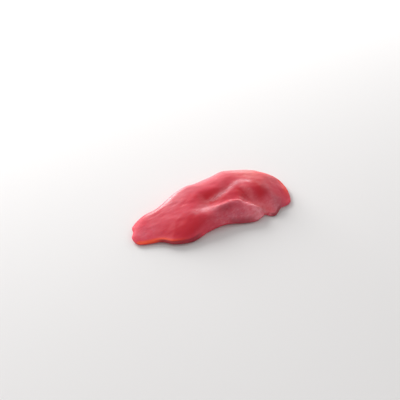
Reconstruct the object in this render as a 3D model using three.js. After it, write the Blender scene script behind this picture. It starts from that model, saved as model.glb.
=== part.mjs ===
// A raw game-bird breast fillet, one solid piece of muscle, lying flat with its outer side up.
// Units are millimetres and +Z is up. +X runs from the thin tip to the broad round end, +Y from the
// side with the rolled fold to the plain side. The origin is on the resting plane, under the middle
// of the fillet's box.
//
// Seen from above, the fillet is a closed smooth outline. From a rim a few millimetres high, the
// meat rises over a rounded edge to its upper face, and turns in below to the flat underside. The
// upper face is a long dome that falls away on the near side of two lines and has two ridges.

import * as THREE from 'three';

// ---- Driving dimensions, mm ----

// Plan outline: the two tips, and each edge from the thin tip to the broad end.
const THIN_TIP = [-84.8, -7.8];
const BROAD_TIP = [88, -4.7];
const NEAR_EDGE = [
  [-82.3, -17.9], [-64.3, -24.5], [-55.4, -33.2], [-38, -37.2], [-18.8, -32.4], [0.8, -32.2],
  [15, -36.4], [28.4, -39.4], [38, -36.8], [43, -34.8], [46.2, -38.6], [52, -40], [62.2, -33.8],
  [77, -29.5],
];
const FAR_EDGE = [
  [-80, -0.3], [-76.4, 7.9], [-62.2, 15.6], [-47.3, 17.2], [-22, 27.3], [-1, 31], [19.8, 34.6],
  [35.8, 37.9], [54.6, 32], [72.2, 25], [85, 12.4],
];

// The dome along the fillet: height at its ends, rise above that, place of the top, how far it
// reaches from there to each end, and how sharply it levels out there.
const DOME = { end: 5.4, rise: 13.3, top: 36, thinReach: 105, broadReach: 67, power: 2.8, levelling: 14 };

// The thin half leans down towards the near edge, from this line on, by this much for each mm.
const LEAN = { from: 9, slope: 0.06, none: 0, full: -50 };

// Two falls of the upper face, each on the near side of a line: how far it drops, over what width
// and with what power, and where along x each of these changes. The long fall makes the valley in
// the middle; the broad fall makes the hollow behind the fold and the slope of the broad end.
const LONG_FALL = {
  line: [[-60, -2.3], [-22.4, 2.8], [-6, 10.2], [12, 9.3], [30.6, 17], [60, 16.3]],
  drop: 4.5, width: 19, start: -28, full: -2, over: 46, fade: 17,
};
const BROAD_FALL = {
  line: [
    [-10, -20], [3.6, -13.4], [15, -7.4], [22.8, -2.2], [30, 2.4], [43, 1.4], [57.8, 3.1],
    [74.6, 6.5], [96, -0.9],
  ],
  drop: { main: 14, start: 16, full: 54, more: 1.9, moreFrom: 64, moreTo: 82 },
  width: { narrow: 19, wide: 49, start: 28, full: 60 },
  power: { thin: 2, middle: 1.5, start: 24, full: 44, less: 0.6, lessFrom: 50, lessTo: 71 },
};

// Ridges: height, half width on the far and near side, where they fade in and out, and the share
// of their width that is left at the end.
const CREST = {
  line: [[-23, -14.8], [-8, -15.2], [3.2, -16.2], [17.2, -16.4], [27, -22.5], [36.7, -31], [45.4, -36]],
  height: 1.3, farSide: 2.6, nearSide: 6.5, fadeIn: 0.35, fadeOut: 0.2, taper: 0.6,
};
const SEAM_RIDGE = {
  line: [[-1.6, -15.6], [6.6, -10.8], [13.8, -8], [22.8, -4], [29.6, 0.6], [44.7, 2.6]],
  height: 1.4, farSide: 3.7, nearSide: 5.6, fadeIn: 0.46, fadeOut: 0.44, taper: 1,
};

// A low hump on the fold's near side.
const HUMP = { at: [-8.5, -25], spread: [9.5, 5.5], height: 1 };

// Least height of the upper face, at the thin flap.
const FLAP_HEIGHT = 4.2;

// Rim height: everywhere, how much thicker it is under the fold, and how much thinner at the flap.
const RIM = { height: 2.3, fold: 2.7, foldAt: 0, foldSpread: 17, flap: 1, flapAt: 49, flapSpread: 8 };

// The rounding from the rim to the upper face: its width along each edge and at the thin tip, and
// where it changes, and the power and root of its curve, which is flatter where `softer` is taken off.
const NEAR_ROLL = {
  tip: 29.5, fold: 16.5, start: -32, full: -15, less: 6, lessFrom: 18, lessTo: 36, more: 5.5,
  moreFrom: 53, moreTo: 72,
};
const FAR_ROLL = { tip: 10.5, middle: 21, start: -13, full: 7, more: 4.5, moreFrom: 62, moreTo: 79 };
const TIP_ROLL = 11;
const ROLL_CURVE = { power: 2.4, root: 2 };
const FOLD_SOFTER = { power: 0.9, root: 0.45, none: -15, full: 11, over: 36, fade: 18 };
const END_SOFTER = { power: 0.56, root: 0.27, none: 50, full: 71 };

// Width of the rounding below the rim, as a multiple of the rim's height.
const UNDERCUT = 1.6;

// The near edge at the thin end lifts a little off the surface, over this share of the width.
const LIFT = { height: 1.2, at: -56, spread: 12, inward: 9, share: 0.25 };

const LENGTH_STEPS = 90;
const ROUND_STEPS = 36;
const OUTLINE_STEPS = 30;
const LINE_STEPS = 6;

// ---- Small functions of one number ----

/** 0 before `from`, 1 after `to`, and a smooth step between; `from` may be the larger. */
function ramp(value, from, to) {
  const t = THREE.MathUtils.clamp((value - from) / (to - from), 0, 1);
  return t * t * (3 - 2 * t);
}

/** A value that goes from one size to another as x goes from one place to another. */
function between(x, first, second, from, to) {
  return THREE.MathUtils.lerp(first, second, ramp(x, from, to));
}

/** 1 at `centre`, falling away on both sides as a bell of that spread. */
function bell(value, centre, spread) {
  return Math.exp(-(((value - centre) / spread) ** 2));
}

/** A rounded quarter from 0 at the rim to 1 once `share` reaches 1. */
function quarterRound(share, { power, root }) {
  const left = 1 - THREE.MathUtils.clamp(share, 0, 1);
  return (1 - left ** power) ** (1 / root);
}

// ---- Lines in plan ----

/** Points of the smooth curve through hand-placed [x, y] points. */
function smoothLine(points, perSpan, closed) {
  const corners = points.map(([x, y]) => new THREE.Vector3(x, y, 0));
  const spans = closed ? points.length : points.length - 1;
  return new THREE.CatmullRomCurve3(corners, closed, 'catmullrom', 0.5).getPoints(perSpan * spans);
}

/** Points at even distances along a polyline. */
function evenlySpaced(line, steps) {
  const runs = [0];
  for (let i = 1; i < line.length; i += 1) {
    runs.push(runs[i - 1] + line[i].distanceTo(line[i - 1]));
  }
  const total = runs[runs.length - 1];
  const spaced = [];
  let span = 0;
  for (let i = 0; i <= steps; i += 1) {
    const run = (total * i) / steps;
    while (span < line.length - 2 && runs[span + 1] < run) {
      span += 1;
    }
    const share = (run - runs[span]) / (runs[span + 1] - runs[span]);
    spaced.push(line[span].clone().lerp(line[span + 1], share));
  }
  return spaced;
}

/** How far a point is from a polyline, on which side, and how far along it the nearest place is. */
function nearestOn(line, point) {
  let distance = Infinity;
  let along = 0;
  let farSide = false;
  const nearest = new THREE.Vector3();
  for (let i = 0; i < line.length - 1; i += 1) {
    const segment = new THREE.Line3(line[i], line[i + 1]);
    const share = segment.closestPointToPointParameter(point, true);
    const gap = segment.at(share, nearest).distanceTo(point);
    if (gap < distance) {
      distance = gap;
      along = (i + share) / (line.length - 1);
      farSide = segment.delta(new THREE.Vector3()).cross(point.clone().sub(line[i])).z > 0;
    }
  }
  return { distance, along, farSide };
}

// ---- The fillet's heights ----

/** A ridge: a bell across its line, with its own width on each side, faded at both ends. */
function makeRidge({ line, height, farSide, nearSide, fadeIn, fadeOut, taper }) {
  const path = smoothLine(line, LINE_STEPS, false);
  return (point) => {
    const nearest = nearestOn(path, point);
    const spread = (nearest.farSide ? farSide : nearSide) * (1 + (taper - 1) * nearest.along);
    const ends = ramp(nearest.along, 0, fadeIn) * ramp(nearest.along, 1, 1 - fadeOut);
    return height * ends * bell(nearest.distance, 0, spread);
  };
}

/** A fall: 0 on its line and on the far side, and 1 from `width` on its near side. */
function makeFall({ line }) {
  const path = smoothLine(line, LINE_STEPS, false);
  return (point, width, power) => {
    const { distance, farSide } = nearestOn(path, point);
    return farSide ? 0 : ramp(Math.min(distance / width, 1) ** power, 0, 1);
  };
}

const longFall = makeFall(LONG_FALL);
const broadFall = makeFall(BROAD_FALL);
const ridges = [CREST, SEAM_RIDGE].map(makeRidge);

/** The long fall's drop: full along the middle of the fillet and faded at both ends. */
function longDrop(point) {
  const { drop, width, start, full, over, fade } = LONG_FALL;
  return drop * ramp(point.x, start, full) * ramp(point.x, over, fade) * longFall(point, width, 1);
}

/** The broad fall's drop, which grows, widens and starts more gently towards the broad end. */
function broadDrop(point) {
  const { x } = point;
  const { drop, width, power } = BROAD_FALL;
  const depth = drop.main * ramp(x, drop.start, drop.full) + drop.more * ramp(x, drop.moreFrom, drop.moreTo);
  const across = between(x, width.narrow, width.wide, width.start, width.full);
  const eased = between(x, power.thin, power.middle, power.start, power.full);
  return depth * broadFall(point, across, eased - power.less * ramp(x, power.lessFrom, power.lessTo));
}

/** The upper face: the dome, less its lean and falls, with the ridges and the hump. */
function upperFace(point) {
  const { x, y } = point;
  const reach = x < DOME.top ? DOME.thinReach : DOME.broadReach;
  const gone = Math.abs(x - DOME.top) / reach;
  const share = gone / (1 + gone ** DOME.levelling) ** (1 / DOME.levelling);
  const dome = DOME.end + DOME.rise * (1 - share ** DOME.power);
  const lean = LEAN.slope * Math.max(LEAN.from - y, 0) * ramp(x, LEAN.none, LEAN.full);
  const hump = HUMP.height * bell(x, HUMP.at[0], HUMP.spread[0]) * bell(y, HUMP.at[1], HUMP.spread[1]);
  const raised = ridges.reduce((sum, ridge) => sum + ridge(point), hump);
  return Math.max(dome - lean - longDrop(point) - broadDrop(point) + raised, FLAP_HEIGHT);
}

/** The rim's height, thickest under the fold and thinnest at the flap. */
function rimHeight(x) {
  const fold = RIM.fold * bell(x, RIM.foldAt, RIM.foldSpread);
  return RIM.height + fold - RIM.flap * bell(x, RIM.flapAt, RIM.flapSpread);
}

/** The rounding's curve, made flatter by a share of what `softer` takes off. */
function softened(softer, share) {
  return {
    power: ROLL_CURVE.power - softer.power * share,
    root: ROLL_CURVE.root - softer.root * share,
  };
}

/** How much of the upper face's height is reached, from 0 at the rim to 1 inside all roundings. */
function rounding(x, gaps) {
  const nearWidth = between(x, NEAR_ROLL.tip, NEAR_ROLL.fold, NEAR_ROLL.start, NEAR_ROLL.full)
    - NEAR_ROLL.less * ramp(x, NEAR_ROLL.lessFrom, NEAR_ROLL.lessTo)
    + NEAR_ROLL.more * ramp(x, NEAR_ROLL.moreFrom, NEAR_ROLL.moreTo);
  const farWidth = between(x, FAR_ROLL.tip, FAR_ROLL.middle, FAR_ROLL.start, FAR_ROLL.full)
    + FAR_ROLL.more * ramp(x, FAR_ROLL.moreFrom, FAR_ROLL.moreTo);
  const fold = ramp(x, FOLD_SOFTER.none, FOLD_SOFTER.full) * ramp(x, FOLD_SOFTER.over, FOLD_SOFTER.fade);
  const end = ramp(x, END_SOFTER.none, END_SOFTER.full);
  return quarterRound(gaps.near / nearWidth, softened(FOLD_SOFTER, fold))
    * quarterRound(gaps.far / farWidth, softened(END_SOFTER, end))
    * quarterRound(gaps.tip / TIP_ROLL, ROLL_CURVE);
}

/** The skin's height at a place in plan, on the upper or the under side. */
function skinHeight(point, lines, across, upper) {
  const gaps = {
    near: nearestOn(lines.near, point).distance,
    far: nearestOn(lines.far, point).distance,
    tip: nearestOn(lines.tip, point).distance,
  };
  const fromEdge = Math.min(gaps.near, gaps.far, gaps.tip);
  const rim = rimHeight(point.x);
  const lift = LIFT.height * bell(point.x, LIFT.at, LIFT.spread) * ramp(across, LIFT.share, 0);
  const under = rim * (1 - quarterRound(fromEdge / (UNDERCUT * rim), { power: 2, root: 2 })) + lift;
  if (!upper) {
    return under;
  }
  const rise = (upperFace(point) - rim) * rounding(point.x, gaps);
  return Math.max(rim + rise + lift * ramp(fromEdge, LIFT.inward, 0), under);
}

// ---- The closed skin ----

/**
 * Rings of points round cross-sections that join the two edges, from the thin tip to the broad one.
 * Each ring runs over the top from the near edge to the far edge and back below. The tips are poles.
 * The roundings are measured from three lines: the near edge and the far edge without the thin
 * tip's blunt end, and that end, which is one span of the near edge and two of the far edge.
 */
function filletGeometry() {
  const corners = [THIN_TIP, ...NEAR_EDGE, BROAD_TIP, ...FAR_EDGE.toReversed()];
  const edge = smoothLine(corners, OUTLINE_STEPS, true);
  const broadIndex = (NEAR_EDGE.length + 1) * OUTLINE_STEPS;
  const tipStart = edge.length - 1 - 2 * OUTLINE_STEPS;
  const lines = {
    near: edge.slice(OUTLINE_STEPS, broadIndex + 1),
    far: edge.slice(broadIndex, tipStart + 1),
    tip: [...edge.slice(tipStart, -1), ...edge.slice(0, OUTLINE_STEPS + 1)],
  };
  const near = evenlySpaced(edge.slice(0, broadIndex + 1), LENGTH_STEPS);
  const far = evenlySpaced(edge.slice(broadIndex).reverse(), LENGTH_STEPS);

  const positions = [];
  const addPoint = (point, across, upper) => {
    positions.push(point.x, point.y, skinHeight(point, lines, across, upper));
  };
  addPoint(near[0], 0, false);
  for (let i = 1; i < LENGTH_STEPS; i += 1) {
    for (let j = 0; j < ROUND_STEPS; j += 1) {
      const turn = (2 * Math.PI * j) / ROUND_STEPS;
      const across = 0.5 - 0.5 * Math.cos(turn);
      addPoint(near[i].clone().lerp(far[i], across), across, turn <= Math.PI);
    }
  }
  addPoint(near[LENGTH_STEPS], 0, false);

  const ring = (i, j) => 1 + (i - 1) * ROUND_STEPS + (j % ROUND_STEPS);
  const broadPole = positions.length / 3 - 1;
  const faces = [];
  for (let j = 0; j < ROUND_STEPS; j += 1) {
    faces.push(0, ring(1, j), ring(1, j + 1));
    for (let i = 1; i < LENGTH_STEPS - 1; i += 1) {
      faces.push(ring(i, j), ring(i + 1, j + 1), ring(i, j + 1));
      faces.push(ring(i, j), ring(i + 1, j), ring(i + 1, j + 1));
    }
    faces.push(ring(LENGTH_STEPS - 1, j), broadPole, ring(LENGTH_STEPS - 1, j + 1));
  }

  const geometry = new THREE.BufferGeometry();
  geometry.setAttribute('position', new THREE.Float32BufferAttribute(positions, 3));
  geometry.setIndex(faces);
  geometry.computeBoundingBox();
  const middle = geometry.boundingBox.getCenter(new THREE.Vector3());
  geometry.translate(-middle.x, -middle.y, 0);
  geometry.computeVertexNormals();
  return geometry;
}

const rawMeat = new THREE.MeshStandardMaterial({ color: 0xc4505e, roughness: 0.38, metalness: 0 });
const fillet = new THREE.Mesh(filletGeometry(), rawMeat);
fillet.name = 'fillet';

const object = new THREE.Group();
object.add(fillet);

export default object;
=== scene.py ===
from math import cos, pi, radians, sin

import bpy
import numpy as np
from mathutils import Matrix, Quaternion, Vector


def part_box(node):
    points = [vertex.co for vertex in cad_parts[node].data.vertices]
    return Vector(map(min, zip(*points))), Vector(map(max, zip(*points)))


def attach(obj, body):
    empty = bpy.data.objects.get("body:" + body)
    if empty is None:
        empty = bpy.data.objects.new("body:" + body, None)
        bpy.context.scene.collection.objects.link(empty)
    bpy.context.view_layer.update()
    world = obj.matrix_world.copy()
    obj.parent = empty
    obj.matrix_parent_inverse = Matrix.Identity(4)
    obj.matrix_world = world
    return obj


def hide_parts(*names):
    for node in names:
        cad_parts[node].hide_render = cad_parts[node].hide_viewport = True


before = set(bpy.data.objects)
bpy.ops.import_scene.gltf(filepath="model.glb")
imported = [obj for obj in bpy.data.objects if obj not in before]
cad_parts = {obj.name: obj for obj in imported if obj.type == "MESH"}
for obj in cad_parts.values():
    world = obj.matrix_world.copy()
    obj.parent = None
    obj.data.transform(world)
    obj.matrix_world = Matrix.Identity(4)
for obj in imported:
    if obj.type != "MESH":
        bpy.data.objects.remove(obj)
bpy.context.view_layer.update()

# ------------------------------------------------------------------------------------------------
# The fillet: one half of a game bird's breast, a single raw muscle, boned and skinned, that lies
# flat with its outer side up. It tapers to a thin tip and is thick and round at the other end, and
# its inner edge is rolled over into a fold under a film of silver skin. Sizes are millimetres.
# ------------------------------------------------------------------------------------------------

METRES_PER_MM = 0.001

# Plan outline: the two tips, and each edge from the thin tip to the broad end.
THIN_TIP = (-84.8, -7.8)
BROAD_TIP = (88, -4.7)
NEAR_EDGE = [
    (-82.3, -17.9), (-64.3, -24.5), (-55.4, -33.2), (-38, -37.2), (-18.8, -32.4), (0.8, -32.2),
    (15, -36.4), (28.4, -39.4), (38, -36.8), (43, -34.8), (46.2, -38.6), (52, -40), (62.2, -33.8),
    (77, -29.5),
]
FAR_EDGE = [
    (-80, -0.3), (-76.4, 7.9), (-62.2, 15.6), (-47.3, 17.2), (-22, 27.3), (-1, 31), (19.8, 34.6),
    (35.8, 37.9), (54.6, 32), (72.2, 25), (85, 12.4),
]

# The dome along the fillet: height at its ends, rise above that, place of its top, how far it
# reaches from there to each end, its power, and how sharply it levels out at its ends.
DOME_END = 5.4
DOME_RISE = 13.3
DOME_TOP = 36
THIN_REACH = 105
BROAD_REACH = 67
DOME_POWER = 2.8
DOME_LEVELLING = 14

# The thin half leans down towards the near edge, from this y on, by this much for each mm.
LEAN_FROM = 9
LEAN_SLOPE = 0.06

# Lines in plan that the upper face falls away from on their near side, and the valley's depth and
# width. The long one makes the valley in the middle; the broad one makes the hollow behind the
# fold and the slope of the broad end.
LONG_FALL = [(-60, -2.3), (-22.4, 2.8), (-6, 10.2), (12, 9.3), (30.6, 17), (60, 16.3)]
BROAD_FALL = [
    (-10, -20), (3.6, -13.4), (15, -7.4), (22.8, -2.2), (30, 2.4), (43, 1.4), (57.8, 3.1),
    (74.6, 6.5), (96, -0.9),
]
VALLEY_DEPTH = 4.5
VALLEY_WIDTH = 19

# Lines in plan of the fold's crest and of the raised seam behind it.
FOLD_CREST = [
    (-23, -14.8), (-8, -15.2), (3.2, -16.2), (17.2, -16.4), (27, -22.5), (36.7, -31), (45.4, -36),
]
SEAM = [(-1.6, -15.6), (6.6, -10.8), (13.8, -8), (22.8, -4), (29.6, 0.6), (44.7, 2.6)]

# A low hump on the fold's near side: its place, how far it spreads each way, and its height.
HUMP_X, HUMP_Y = -8.5, -25
HUMP_LENGTH, HUMP_WIDTH = 9.5, 5.5
HUMP_HEIGHT = 1

# Least height of the upper face, at the thin flap beside the fold.
FLAP_HEIGHT = 4.2

# The rim, the widest part of the edge: its height, how much thicker it is under the fold and
# thinner at the flap, the undercut's width as a multiple of the height, and how far the near edge
# lifts off the table at the thin end.
RIM_HEIGHT = 2.3
RIM_UNDER_FOLD = 2.7
RIM_AT_FLAP = 1
UNDERCUT = 1.6
LIFT_HEIGHT = 1.2

# The rounding from the rim to the upper face: how far in from the thin tip's end it reaches, and
# the power and root of its curve.
TIP_WIDTH = 11
ROLL_POWER = 2.4
ROLL_ROOT = 2

# The skin's own relief: heights of its long muscle bundles and of its soft lumps.
BUNDLE_HEIGHT = 0.012
LUMP_HEIGHT = 0.05

# The grain's direction: how much it slants across the fillet, spreads towards the broad end, and
# leans along it.
GRAIN_SLANT = 0.22
GRAIN_SPREAD = 0.0016
GRAIN_LEAN = 0.25

# Steps of the skin along the fillet, over its top and below it; points in each span of the outline
# and of the other lines; and how many outline points each step of an edge distance's line takes.
LENGTH_STEPS = 380
TOP_STEPS = 200
UNDER_STEPS = 58
POINTS_PER_SPAN = 30
LINE_POINTS_PER_SPAN = 6
GAP_LINE_STRIDE = 3


def ramp(value, start, end):
    """0 before start, 1 after end and a smooth step between; start may be the larger."""
    share = np.clip((value - start) / (end - start), 0, 1)
    return share * share * (3 - 2 * share)


def between(x, first, second, start, end):
    """Goes from the first value to the second as x goes from start to end."""
    return first + (second - first) * ramp(x, start, end)


def bell(value, centre, spread):
    """1 at the centre, falling to both sides as a Gaussian of that spread."""
    return np.exp(-(((value - centre) / spread) ** 2))


def rounded(share, power, root):
    """A rounded quarter: the root of 1 less a power of what is left of the way, from 0 to 1."""
    return (1 - (1 - np.clip(share, 0, 1)) ** power) ** (1 / root)


def smooth_line(corners, per_span=LINE_POINTS_PER_SPAN, closed=False):
    """The uniform Catmull-Rom curve through the corners, with that many points for each span."""
    points = np.asarray(corners, float)
    if closed:
        points = np.vstack([points[-1], points, points[0], points[1]])
    else:
        points = np.vstack([2 * points[0] - points[1], points, 2 * points[-1] - points[-2]])
    t = (np.arange(per_span) / per_span)[None, :, None]
    before, start = points[:-3, None], points[1:-2, None]
    end, after = points[2:-1, None], points[3:, None]
    curve = 0.5 * (
        2 * start
        + (end - before) * t
        + (2 * before - 5 * start + 4 * end - after) * t ** 2
        + (3 * start - before - 3 * end + after) * t ** 3
    ).reshape(-1, 2)
    return curve if closed else np.vstack([curve, points[-2]])


def evenly_spaced(line, steps):
    """Points at even distances along a polyline."""
    run = np.concatenate([[0], np.cumsum(np.hypot(*np.diff(line, axis=0).T))])
    places = np.linspace(0, run[-1], steps + 1)
    return np.stack([np.interp(places, run, line[:, axis]) for axis in (0, 1)], axis=-1)


def nearest_on(line, x, y):
    """How far each point is from a polyline, how far along the nearest place is from 0 to 1, and
    whether the point is on its far side. Each segment in turn keeps the points it is nearest to."""
    distance = np.full(x.shape, np.inf)
    along = np.zeros(x.shape)
    far_side = np.zeros(x.shape, bool)
    last = len(line) - 1
    for index, ((x0, y0), (x1, y1)) in enumerate(zip(line[:-1], line[1:])):
        dx, dy = x1 - x0, y1 - y0
        share = np.clip(((x - x0) * dx + (y - y0) * dy) / (dx * dx + dy * dy + 1e-12), 0, 1)
        gap = np.hypot(x - x0 - share * dx, y - y0 - share * dy)
        nearer = gap < distance
        distance = np.where(nearer, gap, distance)
        along = np.where(nearer, (index + share) / last, along)
        far_side = np.where(nearer, dx * (y - y0) - dy * (x - x0) > 0, far_side)
    return distance, along, far_side


def ridge(x, y, corners, height, far_spread, near_spread, fade_in, fade_out, taper):
    """A bell across a line, with its own spread on each side, faded at both ends; taper is the
    share of its spread that is left at the line's end."""
    distance, along, far_side = nearest_on(smooth_line(corners), x, y)
    spread = np.where(far_side, far_spread, near_spread) * (1 + (taper - 1) * along)
    ends = ramp(along, 0, fade_in) * ramp(along, 1, 1 - fade_out)
    return height * ends * bell(distance, 0, spread)


def fall(x, y, corners, width, power):
    """0 on the far side of a line, and a smooth step to 1 at that width on its near side."""
    distance, _, far_side = nearest_on(smooth_line(corners), x, y)
    return np.where(far_side, 0, ramp(np.minimum(distance / width, 1) ** power, 0, 1))


def upper_face(x, y):
    """The dome, less its lean and its two falls, with the fold's crest, the seam and the hump, and
    no lower than the thin flap. The dome is its end's height plus its rise times 1 less a power of
    a share, which is a smooth smaller one of 1 and the way from its top divided by its reach."""
    gone = np.abs(x - DOME_TOP) / np.where(x < DOME_TOP, THIN_REACH, BROAD_REACH)
    share = gone / (1 + gone ** DOME_LEVELLING) ** (1 / DOME_LEVELLING)
    dome = DOME_END + DOME_RISE * (1 - share ** DOME_POWER)
    lean = LEAN_SLOPE * np.maximum(LEAN_FROM - y, 0) * ramp(x, 0, -50)
    valley = VALLEY_DEPTH * ramp(x, -28, -2) * ramp(x, 46, 17)
    valley = valley * fall(x, y, LONG_FALL, VALLEY_WIDTH, power=1)

    # The slope grows, widens and starts more gently towards the broad end.
    slope = 14 * ramp(x, 16, 54) + 1.9 * ramp(x, 64, 82)
    width = between(x, 19, 49, 28, 60)
    power = between(x, 2, 1.5, 24, 44) - 0.6 * ramp(x, 50, 71)
    slope = slope * fall(x, y, BROAD_FALL, width, power)

    crest = ridge(
        x, y, FOLD_CREST, height=1.3, far_spread=2.6, near_spread=6.5,
        fade_in=0.35, fade_out=0.2, taper=0.6,
    )
    seam = ridge(
        x, y, SEAM, height=1.4, far_spread=3.7, near_spread=5.6,
        fade_in=0.46, fade_out=0.44, taper=1,
    )
    hump = HUMP_HEIGHT * bell(x, HUMP_X, HUMP_LENGTH) * bell(y, HUMP_Y, HUMP_WIDTH)
    return np.maximum(dome - lean - valley - slope + crest + seam + hump, FLAP_HEIGHT)


def rounding(x, from_near, from_far, from_tip):
    """The share of the upper face's height that is reached: the near edge's rounding times the
    far edge's and the thin tip's, each a rounded quarter over its own width. The curve is flatter
    at the fold and at the broad end."""
    near_width = between(x, 29.5, 16.5, -32, -15) - 6 * ramp(x, 18, 36) + 5.5 * ramp(x, 53, 72)
    far_width = between(x, 10.5, 21, -13, 7) + 4.5 * ramp(x, 62, 79)
    fold = ramp(x, -15, 11) * ramp(x, 36, 18)
    end = ramp(x, 50, 71)
    near = rounded(from_near / near_width, ROLL_POWER - 0.9 * fold, ROLL_ROOT - 0.45 * fold)
    far = rounded(from_far / far_width, ROLL_POWER - 0.56 * end, ROLL_ROOT - 0.27 * end)
    return near * far * rounded(from_tip / TIP_WIDTH, ROLL_POWER, ROLL_ROOT)


def waves(along, across, length, width, seed, count=28):
    """Even noise between about -2 and 2: a sum of sines whose waves are about `length` long and
    `width` wide, with seeded directions and phases."""
    rng = np.random.default_rng(seed)
    total = np.zeros(along.shape)
    for _ in range(count):
        rate_along = rng.normal() / length
        rate_across = rng.normal() / width
        total += np.sin(2 * pi * (rate_along * along + rate_across * across + rng.random()))
    return total * np.sqrt(2 / count)


def fillet_grid():
    """Plan places of the skin, how far across each is from 0 at the near edge to 1 at the far one,
    whether it is on top, and its distances from the near edge, the far edge and the thin tip's
    blunt end, which is one span of the near edge and two of the far one. Rings run round sections
    that join the two edges at even steps, over the top from the near edge to the far one and back
    below, packed closer towards both edges."""
    corners = [THIN_TIP, *NEAR_EDGE, BROAD_TIP, *FAR_EDGE[::-1]]
    outline = smooth_line(corners, POINTS_PER_SPAN, closed=True)
    broad_tip = POINTS_PER_SPAN * (len(NEAR_EDGE) + 1)
    near_line = outline[: broad_tip + 1]
    far_line = np.vstack([outline[broad_tip:], outline[:1]])[::-1]
    tip_line = np.vstack([outline[-2 * POINTS_PER_SPAN :], outline[: POINTS_PER_SPAN + 1]])
    near = evenly_spaced(near_line, LENGTH_STEPS)[:, None]
    far = evenly_spaced(far_line, LENGTH_STEPS)[:, None]
    turn = np.concatenate([
        np.linspace(0, pi, TOP_STEPS + 1),
        np.linspace(pi, 2 * pi, UNDER_STEPS + 1)[1:-1],
    ])
    across = np.broadcast_to(0.5 - 0.5 * np.cos(turn), (LENGTH_STEPS + 1, len(turn)))
    plan = near + (far - near) * across[..., None]
    x, y = plan[..., 0], plan[..., 1]
    lines = (near_line[POINTS_PER_SPAN:], far_line[2 * POINTS_PER_SPAN :], tip_line)
    gaps = [nearest_on(line[::GAP_LINE_STRIDE], x, y)[0] for line in lines]
    return x, y, across, turn <= pi, *gaps


x, y, across, on_top, from_near, from_far, from_tip = fillet_grid()
from_edge = np.minimum(np.minimum(from_near, from_far), from_tip)

# The muscle's grain runs along the fillet and turns outwards towards the broad end.
grain_across = y - GRAIN_SLANT * x - GRAIN_SPREAD * x ** 2
grain_along = x + GRAIN_LEAN * y

# The skin's height. Below, it is the rim's rounded undercut, which meets the flat underside. On
# top, it is the rim plus the rounding's share of what the upper face stands above the rim.
rim = RIM_HEIGHT + RIM_UNDER_FOLD * bell(x, 0, 17) - RIM_AT_FLAP * bell(x, 49, 8)
lift = LIFT_HEIGHT * bell(x, -56, 12) * ramp(across, 0.25, 0)
under = rim * (1 - rounded(from_edge / (UNDERCUT * rim), 2, 2)) + lift
bundles = BUNDLE_HEIGHT * waves(grain_along, grain_across, length=30, width=3.2, seed=3)
lumps = LUMP_HEIGHT * waves(x, y, length=16, width=11, seed=5)
relief = (bundles + lumps) * ramp(from_edge, 0.5, 6)
top = rim + (upper_face(x, y) + relief - rim) * rounding(x, from_near, from_far, from_tip)
top = np.maximum(top + lift * ramp(from_edge, 9, 0), under)
z = np.where(on_top, top, under)


def closed_skin(name, places):
    """A mesh of quads round the rings of a grid of places, with a fan at each end's single point,
    all facing outwards."""
    rings, around, _ = places.shape
    body = places[1:-1].reshape(-1, 3)
    points = np.vstack([body, places[0, 0], places[-1, 0]])
    row = np.arange(rings - 3)[:, None] * around
    here = np.arange(around)[None, :]
    beside = (here + 1) % around
    quads = np.stack(
        [row + here, row + around + here, row + around + beside, row + beside], axis=-1,
    )
    first, last = len(body), len(body) + 1
    base = (rings - 3) * around
    here, beside = here[0], beside[0]
    start = np.stack([np.full(around, first), here, beside], axis=-1)
    end = np.stack([base + here, np.full(around, last), base + beside], axis=-1)
    mesh = bpy.data.meshes.new(name)
    mesh.from_pydata(points, [], [*quads.reshape(-1, 4).tolist(), *start.tolist(), *end.tolist()])
    mesh.polygons.foreach_set("use_smooth", np.ones(len(mesh.polygons), bool))
    mesh.update()
    return mesh


low, high = (np.array(corner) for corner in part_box("fillet"))
middle = np.array([(x.min() + x.max()) / 2, (y.min() + y.max()) / 2, 0])
centre = np.array([(low[0] + high[0]) / 2, (low[1] + high[1]) / 2, low[2]])
places = (np.stack([x, y, z], axis=-1) - middle) * METRES_PER_MM + centre

fillet = bpy.data.objects.new("breast_fillet", closed_skin("breast_fillet", places))
bpy.context.scene.collection.objects.link(fillet)
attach(fillet, "root")
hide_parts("fillet")

# The pale line of sinew beside the seam, in plan.
PALE_SEAM = [
    (-12, -6.8), (-2, -5.1), (7.8, -3.7), (16, -1.4), (24.4, 0.9), (32.5, 4.6), (39.7, 4.9), (46, 1),
]

crest_distance, crest_along, behind_crest = nearest_on(smooth_line(FOLD_CREST), x, y)
seam_distance, seam_along, _ = nearest_on(smooth_line(PALE_SEAM), x, y)
fold_face = np.where(behind_crest, 0, ramp(crest_distance, 0, 2))


def strongest(*amounts):
    """The largest of several amounts at each place."""
    return np.maximum.reduce(amounts)


# A strip of painted light that lies behind the fold's crest and crosses the hollow.
painted_light_strip = strongest(
    0.8 * behind_crest * ramp(crest_distance, 16, 4) * ramp(x, 26, 36) * ramp(x, 54, 44),
    0.6 * bell(x, 38, 4.5) * ramp(y, 12, 4) * ramp(y, -34, -26),
)

# Silver skin: on the fold's face, thinner just below its crest, on the flap and at the thin tip,
# with painted light on the light strip. Towards the fold's broad end it is paler, partly as painted
# light.
bare_band = 0.5 * bell(crest_distance, 6, 5) * bell(x, 12, 13)
silver_and_light = strongest(
    fold_face * ramp(x, -30, 20) * ramp(x, 56, 46) * (1 - bare_band),
    0.6 * painted_light_strip,
    0.85 * bell(x, 58, 12) * ramp(y, -18, -30),
    0.5 * bell(x, -72, 10) * bell(y, -8, 8),
)
pale_skin_and_light = strongest(ramp(x, 14, 32) * ramp(x, 62, 50) * ramp(y, -14, -24), painted_light_strip)
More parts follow.
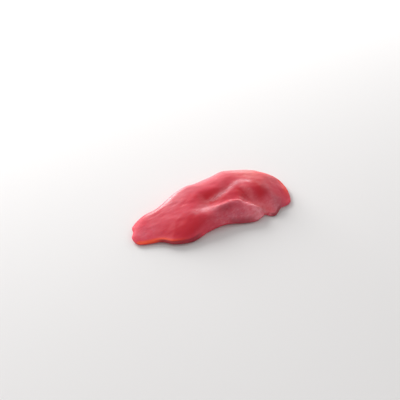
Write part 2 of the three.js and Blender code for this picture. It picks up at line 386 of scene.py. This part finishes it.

# Deep red and painted shade: the valley, both halves of the hollow and the thin half's near side.
deep_red_and_shade_mask = strongest(
    0.9 * bell(x + 0.2 * y, 2, 15) * ramp(y, 10, 2) * ramp(y, -15, -6),
    0.9 * bell(x, 32, 7) * ramp(y, 2, -5) * ramp(y, -22, -12),
    0.9 * bell(x - 0.35 * y, 54.5, 8) * ramp(y, 8, -2) * ramp(y, -28, -18),
    0.7 * bell(x, -34, 26) * ramp(y, -6, -22) * ramp(from_near, 2, 6),
)

# Painted shade, dark red: under the fold, under the thin half's lifted lip and under the flap's lip;
# more faintly, on the flap, the hollow's broad half, the crest's bend and the band below the crest.
painted_shade_mask = strongest(
    0.7 * ramp(from_near, 3.6, 0.4) * ramp(x, -2, 10) * ramp(x, 36, 20),
    0.9 * ramp(from_near, 2.2, 0.8) * ramp(x, -72, -62) * ramp(x, -26, -34),
    0.9 * ramp(from_near, 2.6, 0.6) * ramp(x, 44, 49) * ramp(x, 66, 58),
    0.25 * bell(x, 60, 9) * ramp(y, -18, -28),
    0.28 * bell(x, 55, 8) * bell(y, -16, 10),
    0.4 * bell(crest_distance, 0, 3) * bell(x, 20.5, 4.5),
    0.55 * fold_face * bell(crest_distance, 5, 4) * bell(x, 6, 13),
)

# Painted highlight: a thin line on the crest, fainter at its bend, and a patch round its start; and
# pale fibres along the seam.
crest_line = bell(crest_distance, 0, 1.1) * ramp(crest_along, 0.02, 0.25) * ramp(crest_along, 1, 0.9)
start_spread = np.where(behind_crest, 5, 3)
pale_fibre_and_highlight = strongest(
    0.9 * crest_line * (1 - 0.75 * bell(x, 20, 10)),
    bell(crest_distance, 0, start_spread) * bell(crest_along, 0.15, 0.18),
    bell(seam_distance, 0, 2.7) * ramp(seam_along, 0.02, 0.3),
)

# The edges: orange where the thin half's near edge is thinnest, red round the broad end's rim, a
# painted highlight along the far edge, and drier meat on the rim's far and thin stretches.
orange = ramp(from_near, 5, 2) * ramp(x, -36, -62)
rim_red = ramp(from_edge, 9, 3) * ramp(x, 66, 78) * ramp(y, -26, -14)
painted_sheen = ramp(from_far, 24, 8) * ramp(x, -50, -30) * ramp(x, 62, 40)
dry = strongest(
    ramp(from_far, 7, 3) * ramp(x, -10, -40),
    ramp(x, -56, -70),
    ramp(x, 52, 68) * ramp(y, 30, 10),
)

# Greyer, salmon-pink meat on the broad end's shoulder, and salmon painted light on the light strip.
greyed = strongest(0.75 * bell(x, 60, 22) * ramp(y, -16, 16), 0.6 * painted_light_strip)


def on_points(grid):
    """A grid's values in the order of the skin's points."""
    return np.concatenate([grid[1:-1].ravel(), grid[0, :1], grid[-1, :1]])


# How much of each finish a place has, from 0 to 1. Only the painted shade goes on below.
for name, amount in {
    "silver_skin_and_light": silver_and_light, "deep_red_and_shade": deep_red_and_shade_mask, "painted_shade": painted_shade_mask, "pale_seam_and_highlight": pale_fibre_and_highlight,
    "thin_edge": orange, "greyed": greyed, "far_painted_sheen": painted_sheen, "dry_edge": dry,
    "pale_skin_and_light": pale_skin_and_light, "rim_red": rim_red,
}.items():
    layer = fillet.data.attributes.new(name, "FLOAT", "POINT")
    shown = on_top | (name == "painted_shade")
    layer.data.foreach_set("value", on_points(np.where(shown, amount, 0)).astype(np.float32))

grain = np.stack([on_points(grain_along), on_points(grain_across)], axis=-1)
mesh_corners = np.empty(len(fillet.data.loops), np.int32)
fillet.data.loops.foreach_get("vertex_index", mesh_corners)
grain_map = fillet.data.uv_layers.new(name="grain")
grain_map.data.foreach_set("uv", grain[mesh_corners].astype(np.float32).ravel())


class Amount:
    """A number that varies over the surface: a node's output, with arithmetic as Math nodes."""

    def __init__(self, finish, socket):
        self.finish = finish
        self.socket = socket

    def maths(self, operation, other):
        return self.finish.node("Math", {"operation": operation}, {0: self, 1: other})

    def __add__(self, other):
        return self.maths("ADD", other)

    def __mul__(self, other):
        return self.maths("MULTIPLY", other)

    __radd__ = __add__
    __rmul__ = __mul__

    def within(self, low, high):
        """0 below low, 1 above high and a smooth step between."""
        settings = {"interpolation_type": "SMOOTHSTEP"}
        inputs = {"Value": self, "From Min": low, "From Max": high}
        return self.finish.node("MapRange", settings, inputs)


class Finish:
    """A material made of nodes, on one Principled shader."""

    def __init__(self, name):
        self.material = bpy.data.materials.new(name)
        self.material.use_nodes = True
        self.tree = self.material.node_tree
        self.shader = self.tree.nodes["Principled BSDF"]

    def put(self, socket, value):
        """Links a node's output to a socket, or sets the socket to a plain value."""
        if isinstance(value, Amount):
            self.tree.links.new(value.socket, socket)
        elif isinstance(value, tuple) and len(value) == 3 and socket.type == "RGBA":
            socket.default_value = (*value, 1)
        else:
            socket.default_value = value

    def node(self, kind, settings=None, inputs=None, output=0):
        """Adds a node of that kind, sets it up, fills its sockets and returns one output."""
        made = self.tree.nodes.new("ShaderNode" + kind)
        for key, value in (settings or {}).items():
            setattr(made, key, value)
        for key, value in (inputs or {}).items():
            self.put(made.inputs[key], value)
        return Amount(self, made.outputs[output])

    def mix(self, factor, first, second):
        """A colour that goes from the first to the second as the factor goes from 0 to 1."""
        settings = {"data_type": "RGBA"}
        return self.node("Mix", settings, {0: factor, 6: first, 7: second}, output=2)

    def noise(self, place, scale, detail, roughness):
        """Soft noise from 0 to 1."""
        inputs = {"Vector": place, "Scale": scale, "Detail": detail, "Roughness": roughness}
        return self.node("TexNoise", None, inputs)

    def stretched(self, place, scale):
        """A place scaled by its own amount along each axis."""
        return self.node("Mapping", None, {"Vector": place, "Scale": scale})

    def finish_of(self, name):
        """One of the amounts stored on the mesh."""
        return self.node("Attribute", {"attribute_name": name}, None, output=2)


MEAT = (0.68, 0.026, 0.060)
MEAT_LIGHT = (0.73, 0.038, 0.076)
DARK_MEAT_AND_SHADE = (0.62, 0.003, 0.016)
PAINTED_SHADE_RED = (0.34, 0.010, 0.028)
SILVER_SKIN = (0.66, 0.130, 0.185)
PALE_SKIN_AND_LIGHT = (0.96, 0.260, 0.320)
SILVER_SPECK = (0.84, 0.270, 0.310)
PALE_FIBRE_AND_HIGHLIGHT = (0.90, 0.360, 0.400)
PAINTED_SHEEN_PINK = (0.80, 0.220, 0.260)
SALMON = (0.78, 0.155, 0.135)
ORANGE_EDGE = (0.88, 0.075, 0.022)
RIM_RED = (0.86, 0.026, 0.018)

# Waves in each mm along and across the grain, of broad fibres, of fine threads and of the silver
# skin's streaks; and waves in each metre of the meat's cloudiness and of its mottling.
FIBRE_RATES = (0.05, 0.9, 1)
THREAD_RATES = (0.12, 2.6, 1)
STREAK_RATES = (0.22, 0.6, 1)
CLOUD_RATE = 55.0
MOTTLE_RATE = 260.0

raw_meat = Finish("raw_meat")
grain_place = raw_meat.node("UVMap", {"uv_map": "grain"})
solid_place = raw_meat.node("TexCoord", None, None, output=3)
fibre_place = raw_meat.stretched(grain_place, FIBRE_RATES)
thread_place = raw_meat.stretched(grain_place, THREAD_RATES)
streak_place = raw_meat.stretched(grain_place, STREAK_RATES)
fibres = raw_meat.noise(fibre_place, scale=1.0, detail=3.0, roughness=0.6)
threads = raw_meat.noise(thread_place, scale=1.0, detail=2.0, roughness=0.6)
streaks = raw_meat.noise(streak_place, scale=1.0, detail=5.0, roughness=0.7)
cloudy = raw_meat.noise(solid_place, scale=CLOUD_RATE, detail=3.0, roughness=0.55)
mottle = raw_meat.noise(solid_place, scale=MOTTLE_RATE, detail=3.0, roughness=0.6)

# The meat, from its plain colour up through its layers to the painted shade at the lip.
colour = raw_meat.mix(cloudy.within(0.3, 0.7), MEAT, MEAT_LIGHT)
colour = raw_meat.mix(fibres.within(0.45, 0.75) * 0.25, colour, DARK_MEAT_AND_SHADE)
# Painted highlight: pale pink along the far edge.
colour = raw_meat.mix(raw_meat.finish_of("far_painted_sheen") * (0.3 + fibres * 0.5), colour, PAINTED_SHEEN_PINK)
colour = raw_meat.mix(raw_meat.finish_of("greyed") * (0.4 + mottle * 0.9), colour, SALMON)
# Deep red meat and painted shade in the valley, the hollow and the thin half's near side.
colour = raw_meat.mix(raw_meat.finish_of("deep_red_and_shade"), colour, DARK_MEAT_AND_SHADE)
# Silver skin, with painted light on the light strip and at the fold's paler broad end.
skin_colour = raw_meat.mix(raw_meat.finish_of("pale_skin_and_light"), SILVER_SKIN, PALE_SKIN_AND_LIGHT)
skin_and_light_amount = raw_meat.finish_of("silver_skin_and_light")
colour = raw_meat.mix(skin_and_light_amount * (0.5 + mottle.within(0.35, 0.65) * 0.5), colour, skin_colour)
colour = raw_meat.mix(skin_and_light_amount * streaks.within(0.45, 0.68) * 0.6, colour, SILVER_SPECK)
broken = threads.within(0.3, 0.55) * (0.6 + mottle.within(0.4, 0.62) * 0.4)
# Pale fibres on the seam, and painted highlight on the crest.
colour = raw_meat.mix(raw_meat.finish_of("pale_seam_and_highlight") * broken, colour, PALE_FIBRE_AND_HIGHLIGHT)
colour = raw_meat.mix(raw_meat.finish_of("thin_edge"), colour, ORANGE_EDGE)
colour = raw_meat.mix(raw_meat.finish_of("rim_red"), colour, RIM_RED)
# Painted shade: dark red under the lips, on the flap and below the fold's crest.
colour = raw_meat.mix(raw_meat.finish_of("painted_shade"), colour, PAINTED_SHADE_RED)

shader = raw_meat.shader.inputs
raw_meat.put(shader["Base Color"], colour)
raw_meat.put(shader["Roughness"], 0.40 + cloudy * 0.1 + raw_meat.finish_of("dry_edge") * 0.35)
raw_meat.put(shader["Coat Weight"], mottle * 0.1)
raw_meat.put(shader["Coat Roughness"], 0.3)
raw_meat.put(shader["Subsurface Weight"], 0.25)
raw_meat.put(shader["Subsurface Radius"], (1.0, 0.3, 0.2))
raw_meat.put(shader["Subsurface Scale"], 0.004)
height = fibres * 0.5 + threads * 0.3 + mottle * 0.3
bump = raw_meat.node("Bump", None, {"Strength": 0.16, "Distance": 0.0005, "Height": height})
raw_meat.put(shader["Normal"], bump)
fillet.data.materials.append(raw_meat.material)

# ------------------------------------------------------------------------------------------------
# The table top: a plain, pale, matt sheet, wide enough to fill the view. It lies level, and the
# fillet rests on it by its own weight. Sizes are metres.
# ------------------------------------------------------------------------------------------------

FLOOR_HALF_SIDE = 4.0
FLOOR_WHITE = (0.80, 0.785, 0.78)

floor_corners = [
    (side_x * FLOOR_HALF_SIDE, side_y * FLOOR_HALF_SIDE, 0)
    for side_x, side_y in ((-1, -1), (1, -1), (1, 1), (-1, 1))
]
floor_mesh = bpy.data.meshes.new("floor")
floor_mesh.from_pydata(floor_corners, [], [(0, 1, 2, 3)])
floor = bpy.data.objects.new("floor", floor_mesh)
bpy.context.scene.collection.objects.link(floor)
floor_finish = Finish("floor")
floor_finish.put(floor_finish.shader.inputs["Base Color"], FLOOR_WHITE)
floor_finish.put(floor_finish.shader.inputs["Roughness"], 0.85)
floor_mesh.materials.append(floor_finish.material)

# ------------------------------------------------------------------------------------------------
# The camera stands in front of the fillet and to its thin end's side, and looks down on it. The
# light is soft: two wide lamps low behind the fillet, three weak ones round it, and an even glow.
# Places are metres.
# ------------------------------------------------------------------------------------------------

CAMERA_PLACE = (-0.2999, -0.4478, 0.3938)
CAMERA_AIM = (0.0001, 0.0184, 0)
CAMERA_ROLL = radians(2.4)
CAMERA_LENS = 62.6
CAMERA_SENSOR = 36

camera = bpy.data.objects.new("camera", bpy.data.cameras.new("camera"))
bpy.context.scene.collection.objects.link(camera)
camera.data.lens = CAMERA_LENS
camera.data.sensor_width = CAMERA_SENSOR
camera.data.clip_start = 0.01
camera.location = CAMERA_PLACE
line_of_sight = Vector(CAMERA_AIM) - Vector(CAMERA_PLACE)
level = line_of_sight.to_track_quat("-Z", "Y")
camera.rotation_euler = (level @ Quaternion((0, 0, 1), CAMERA_ROLL)).to_euler()
bpy.context.scene.camera = camera

LAMP_DISTANCE = 1.5
LAMP_WIDTH = 1.0

# Each lamp's azimuth from +X and its elevation, in degrees, and its power in watts.
LAMPS = {
    "lamp_far_left": (95, 20, 32),
    "lamp_far_right": (38, 8, 13),
    "lamp_left": (150, 35, 4.7),
    "lamp_front": (237, 40, 3.2),
    "lamp_right": (330, 30, 2.6),
}


def soft_lamp(name, azimuth, elevation, power):
    """A round lamp that shines at the fillet from an azimuth and an elevation."""
    lamp = bpy.data.lights.new(name, "AREA")
    lamp.shape = "DISK"
    lamp.size = LAMP_WIDTH
    lamp.energy = power
    held = bpy.data.objects.new(name, lamp)
    bpy.context.scene.collection.objects.link(held)
    turn, rise = radians(azimuth), radians(elevation)
    direction = Vector((cos(rise) * cos(turn), cos(rise) * sin(turn), sin(rise)))
    held.location = direction * LAMP_DISTANCE
    held.rotation_euler = held.location.to_track_quat("Z", "Y").to_euler()


for name, (azimuth, elevation, power) in LAMPS.items():
    soft_lamp(name, azimuth, elevation, power)

GLOW_STRENGTH = 0.28

world = bpy.data.worlds.new("glow")
world.use_nodes = True
world.node_tree.nodes["Background"].inputs["Color"].default_value = (1, 1, 1, 1)
world.node_tree.nodes["Background"].inputs["Strength"].default_value = GLOW_STRENGTH
bpy.context.scene.world = world
bpy.context.scene.view_settings.view_transform = "Standard"
